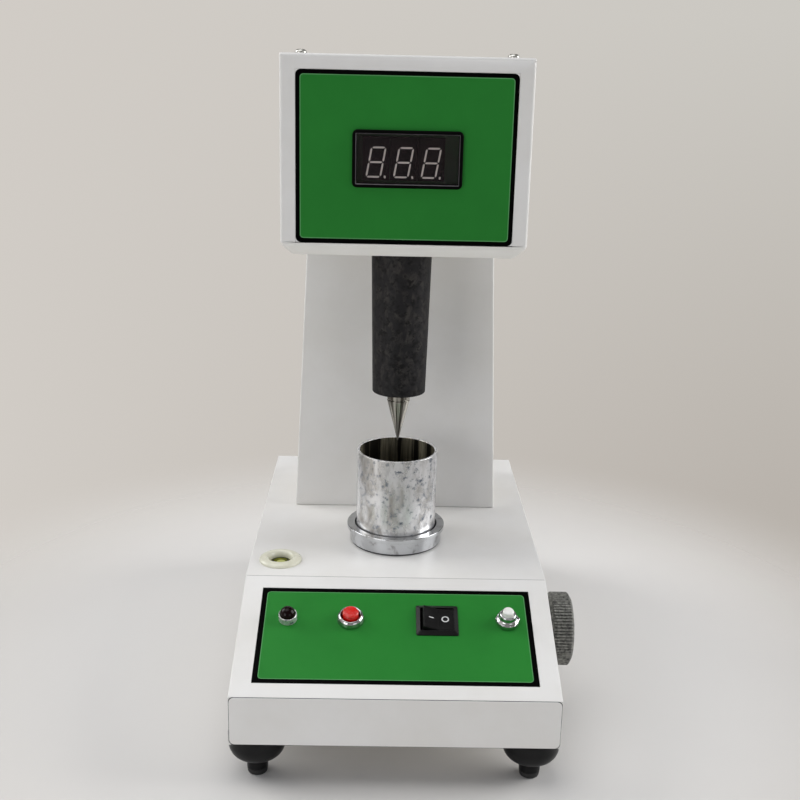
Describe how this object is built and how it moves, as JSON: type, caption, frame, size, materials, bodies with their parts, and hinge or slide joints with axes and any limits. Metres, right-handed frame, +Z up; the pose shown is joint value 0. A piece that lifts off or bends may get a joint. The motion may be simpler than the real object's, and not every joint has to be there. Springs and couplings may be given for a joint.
{
  "type": "liquid and plastic limit tester",
  "caption": "Bench soil tester: sloped base on levelling feet, column, display head, sleeve with a drop cone, and a cup on a knob-driven lift.",
  "frame": {"origin": "centre of the whole object's box, on the floor that the feet stand on", "axes": "+Z up, -Y towards the front with the panels, +X towards the side with the lift knob"},
  "size_m": [0.209, 0.325, 0.4102],
  "materials": {
    "white_paint": "powder coat, light satin",
    "green_panel": "printed plate, satin",
    "black_plastic": "moulded, satin",
    "sleeve_black": "mottled, matt",
    "chrome": "polished plating",
    "steel": "turned",
    "zinc_steel": "zinc plated",
    "brass": "turned",
    "knob_metal": "knurled, dull",
    "red_plastic": "moulded, glossy",
    "white_plastic": "moulded, glossy",
    "red_lens": "clear red, dark when off",
    "cream_plastic": "moulded, glossy",
    "level_glass": "clear over a yellow-green liquid",
    "smoked_window": "smoked clear plastic",
    "segment_grey": "unlit segments",
    "board_green": "circuit board",
    "core_iron": "varnished laminations",
    "rubber": "soft, matt"
  },
  "bodies": {
    "frame": {"base_tray": "white_paint", "base_cover": "white_paint", "case_screws": "zinc_steel", "foot_studs": "zinc_steel", "control_panel": "green_panel", "indicator_bezel": "chrome", "indicator_lens": "red_lens", "reset_button_body": "chrome", "measure_button_body": "chrome", "panel_nuts": "zinc_steel", "switch_frame": "black_plastic", "level_ring": "cream_plastic", "level_vial": "level_glass", "guide_bush": "brass", "bush_screws": "zinc_steel", "gear_bracket": "zinc_steel", "idler_pin": "steel", "shaft_bush": "brass", "transformer": "core_iron", "main_board": "board_green", "board_spacers": "brass", "mains_inlet": "black_plastic", "fuse_holder": "black_plastic", "column_shell": "white_paint", "column_cover": "white_paint", "frame_bolts": "zinc_steel", "head_shell": "white_paint", "head_lid": "white_paint", "head_panel": "green_panel", "display_bezel": "black_plastic", "display_window": "smoked_window", "digit_modules": "black_plastic", "digit_segments": "segment_grey", "display_board": "board_green", "cone_sleeve": "sleeve_black", "sleeve_bushes": "brass", "holding_magnet": "steel", "magnet_bracket": "zinc_steel", "depth_sensor": "black_plastic"},
    "lift_knob": {"lift_knob": "knob_metal", "lift_shaft": "steel", "drive_pinion": "steel"},
    "idler": {"idler_gear": "brass"},
    "lift": {"lift_post": "steel", "lift_platform": "chrome"},
    "cup": {"sample_cup": "chrome"},
    "cone": {"cone": "steel", "cone_rod": "steel", "cone_armature": "steel"},
    "reset_button": {"reset_button_cap": "red_plastic"},
    "measure_button": {"measure_button_cap": "white_plastic"},
    "power_rocker": {"switch_rocker": "black_plastic"},
    "front_left_foot": {"front_left_foot_tip": "rubber"},
    "front_left_wheel": {"front_left_foot_wheel": "black_plastic"},
    "front_right_foot": {"front_right_foot_tip": "rubber"},
    "front_right_wheel": {"front_right_foot_wheel": "black_plastic"},
    "rear_left_foot": {"rear_left_foot_tip": "rubber"},
    "rear_left_wheel": {"rear_left_foot_wheel": "black_plastic"},
    "rear_right_foot": {"rear_right_foot_tip": "rubber"},
    "rear_right_wheel": {"rear_right_foot_wheel": "black_plastic"}
  },
  "joints": [
    {"name": "lift_knob_turn", "type": "hinge", "parent": "frame", "child": "lift_knob", "pos_m": [-0.007, -0.0755, 0.0595], "axis": [-1, 0, 0], "range_deg": [0, 120.1]},
    {"name": "idler_turn", "type": "hinge", "parent": "frame", "child": "idler", "pos_m": [-0.007, -0.041, 0.0595], "axis": [-1, 0, 0], "range_deg": [-52.6, 0]},
    {"name": "lift_slide", "type": "slide", "parent": "frame", "child": "lift", "axis": [0, 0, 1], "range_m": [0, 0.022]},
    {"name": "sample_cup_lift", "type": "slide", "parent": "lift", "child": "cup", "axis": [0, 0, 1], "range_m": [0, 0.005]},
    {"name": "cone_drop", "type": "slide", "parent": "frame", "child": "cone", "axis": [0, 0, -1], "range_m": [0, 0.022]},
    {"name": "reset_button_press", "type": "slide", "parent": "frame", "child": "reset_button", "axis": [0, 0.3396, -0.9406], "range_m": [0, 0.0025], "stiffness_N_per_m": 400, "springref_m": -0.001},
    {"name": "measure_button_press", "type": "slide", "parent": "frame", "child": "measure_button", "axis": [0, 0.3396, -0.9406], "range_m": [0, 0.0025], "stiffness_N_per_m": 400, "springref_m": -0.001},
    {"name": "power_rocker_tip", "type": "hinge", "parent": "frame", "child": "power_rocker", "pos_m": [0.018, -0.10519, 0.0765], "axis": [0, -0.9406, -0.3396], "range_deg": [0, 20]},
    {"name": "front_left_foot_screw", "type": "slide", "parent": "frame", "child": "front_left_foot", "axis": [0, 0, -1], "range_m": [0, 0.005]},
    {"name": "front_left_wheel_turn", "type": "hinge", "parent": "front_left_foot", "child": "front_left_wheel", "pos_m": [-0.0875, -0.1455, 0.014], "axis": [0, 0, -1], "range_deg": [0, 1440]},
    {"name": "front_right_foot_screw", "type": "slide", "parent": "frame", "child": "front_right_foot", "axis": [0, 0, -1], "range_m": [0, 0.005]},
    {"name": "front_right_wheel_turn", "type": "hinge", "parent": "front_right_foot", "child": "front_right_wheel", "pos_m": [0.0735, -0.1455, 0.014], "axis": [0, 0, -1], "range_deg": [0, 1440]},
    {"name": "rear_left_foot_screw", "type": "slide", "parent": "frame", "child": "rear_left_foot", "axis": [0, 0, -1], "range_m": [0, 0.005]},
    {"name": "rear_left_wheel_turn", "type": "hinge", "parent": "rear_left_foot", "child": "rear_left_wheel", "pos_m": [-0.0875, 0.1385, 0.014], "axis": [0, 0, -1], "range_deg": [0, 1440]},
    {"name": "rear_right_foot_screw", "type": "slide", "parent": "frame", "child": "rear_right_foot", "axis": [0, 0, -1], "range_m": [0, 0.005]},
    {"name": "rear_right_wheel_turn", "type": "hinge", "parent": "rear_right_foot", "child": "rear_right_wheel", "pos_m": [0.0735, 0.1385, 0.014], "axis": [0, 0, -1], "range_deg": [0, 1440]}
  ],
  "couplings": [
    {"joint": "lift_knob_turn", "follows": "lift_slide", "rad_per_m": 95.238},
    {"joint": "idler_turn", "follows": "lift_slide", "rad_per_m": -41.667},
    {"joint": "front_left_foot_screw", "follows": "front_left_wheel_turn", "m_per_rad": 0.00019894},
    {"joint": "front_right_foot_screw", "follows": "front_right_wheel_turn", "m_per_rad": 0.00019894},
    {"joint": "rear_left_foot_screw", "follows": "rear_left_wheel_turn", "m_per_rad": 0.00019894},
    {"joint": "rear_right_foot_screw", "follows": "rear_right_wheel_turn", "m_per_rad": 0.00019894}
  ]
}
